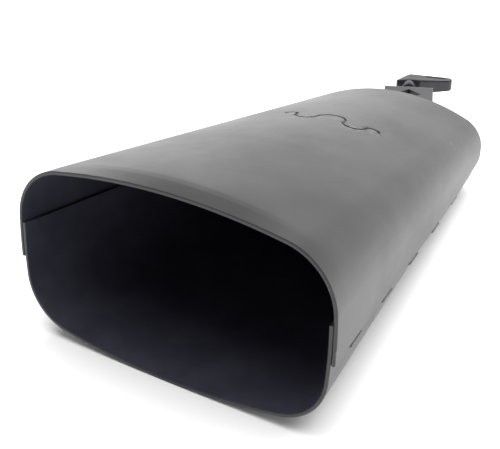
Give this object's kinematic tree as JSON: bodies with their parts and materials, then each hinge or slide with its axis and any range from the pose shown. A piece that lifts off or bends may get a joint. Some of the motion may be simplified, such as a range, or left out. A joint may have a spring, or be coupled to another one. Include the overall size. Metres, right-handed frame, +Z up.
{
  "type": "cowbell",
  "caption": "Tapered flattened steel cowbell with a bent striking lip and, behind its closed end, a swivelling rod clamp tightened by a lever screw.",
  "frame": {"origin": "middle of the overall length and width, on the flat surface that the bell lies on", "axes": "+Y from the open mouth to the closed heel and its clamp, +Z up away from the surface it lies on, +X to the right seen from the mouth"},
  "size_m": [0.1312, 0.2812, 0.0742],
  "materials": {
    "black_powder_coat": "satin black powder coat",
    "zinc_steel": "bright zinc plate",
    "black_moulding": "smooth satin black moulding"
  },
  "bodies": {
    "bell": {"upper_shell": "black_powder_coat", "lower_shell": "black_powder_coat", "seam_welds": "black_powder_coat", "heel_lug": "black_powder_coat", "lug_welds": "black_powder_coat", "pivot_washers": "zinc_steel"},
    "clamp": {"clamp_yoke": "black_powder_coat", "pivot_pin": "black_powder_coat", "screw_nut": "black_powder_coat", "nut_weld": "black_powder_coat"},
    "shoe": {"rod_shoe": "zinc_steel"},
    "screw": {"clamp_screw": "zinc_steel", "lever_handle": "black_moulding"}
  },
  "joints": [
    {"name": "clamp_swivel", "type": "hinge", "parent": "bell", "child": "clamp", "pos_m": [0, 0.07454, 0.0208], "axis": [0, 0, 1], "range_deg": [-46, 4]},
    {"name": "screw_travel", "type": "slide", "parent": "clamp", "child": "shoe", "axis": [0.3584, -0.9336, 0], "range_m": [0, 0.012]},
    {"name": "screw_turn", "type": "hinge", "parent": "shoe", "child": "screw", "pos_m": [-0.01434, 0.11188, 0.0208], "axis": [0.3584, -0.9336, 0], "range_deg": [0, 4320]}
  ],
  "couplings": [
    {"joint": "screw_travel", "follows": "screw_turn", "m_per_rad": 0.00015915}
  ]
}
